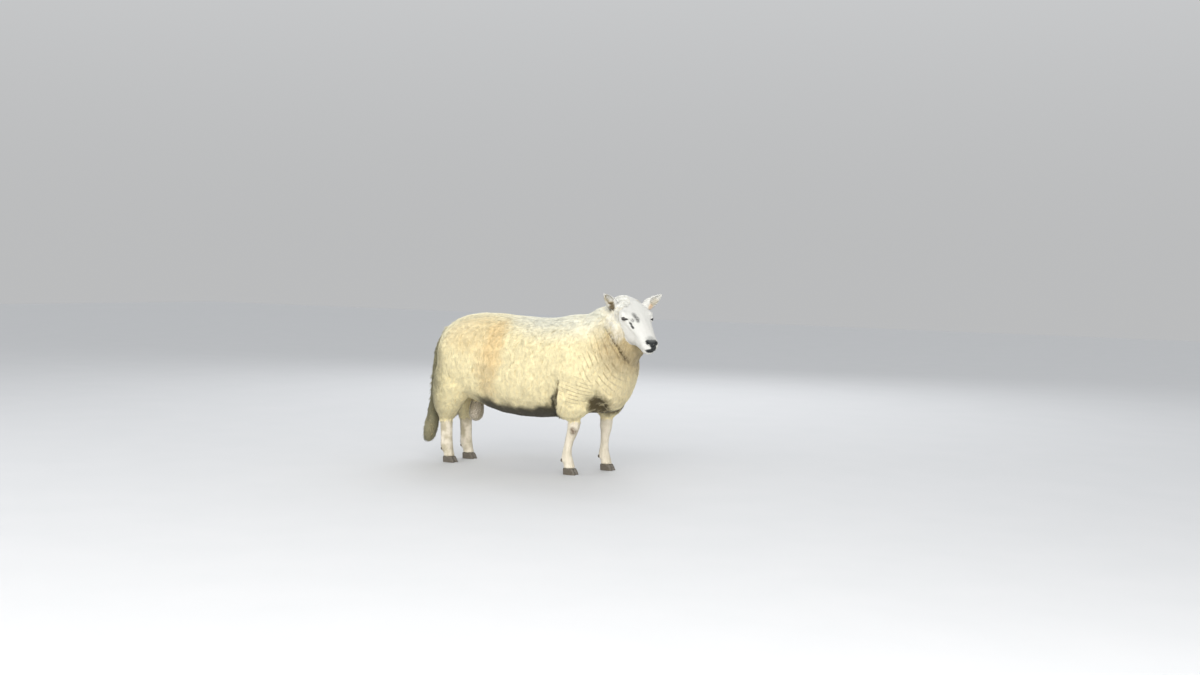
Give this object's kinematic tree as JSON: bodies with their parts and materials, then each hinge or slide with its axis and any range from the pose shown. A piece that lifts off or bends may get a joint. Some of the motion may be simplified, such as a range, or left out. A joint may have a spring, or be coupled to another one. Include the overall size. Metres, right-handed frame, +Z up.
{
  "type": "sheep",
  "caption": "Life-size white-faced ram in full cream fleece, standing square with its head turned towards its right side.",
  "frame": {"origin": "middle of the footprint, on the plane of the hoof soles", "axes": "+X towards the head, +Y towards the animal's left, +Z up"},
  "size_m": [1.3046, 0.4954, 0.8572],
  "materials": {
    "fleece": "dense cream wool in short pointed locks, matt",
    "dirty_fleece": "grey brown soiled wool, matt",
    "face_hair": "short white hair lying flat",
    "leg_hair": "short white hair with a pink cast",
    "bare_skin": "soft greyish pink skin with thin down",
    "eye": "dark brown, wet gloss",
    "horn": "grey brown hoof horn, satin"
  },
  "bodies": {
    "root": {"trunk": "fleece", "neck": "fleece", "fore_right_arm": "fleece", "fore_left_arm": "fleece", "hind_right_thigh": "fleece", "hind_left_thigh": "fleece", "tail": "dirty_fleece", "head": "face_hair", "ear_left": "face_hair", "ear_right": "face_hair", "fore_right_shank": "leg_hair", "fore_left_shank": "leg_hair", "hind_right_shank": "leg_hair", "hind_left_shank": "leg_hair", "scrotum": "bare_skin", "eye_left": "eye", "eye_right": "eye", "fore_right_claw_outer": "horn", "fore_right_dewclaw_outer": "horn", "fore_right_claw_inner": "horn", "fore_right_dewclaw_inner": "horn", "fore_left_claw_outer": "horn", "fore_left_dewclaw_outer": "horn", "fore_left_claw_inner": "horn", "fore_left_dewclaw_inner": "horn", "hind_right_claw_outer": "horn", "hind_right_dewclaw_outer": "horn", "hind_right_claw_inner": "horn", "hind_right_dewclaw_inner": "horn", "hind_left_claw_outer": "horn", "hind_left_dewclaw_outer": "horn", "hind_left_claw_inner": "horn", "hind_left_dewclaw_inner": "horn"}
  },
  "joints": []
}
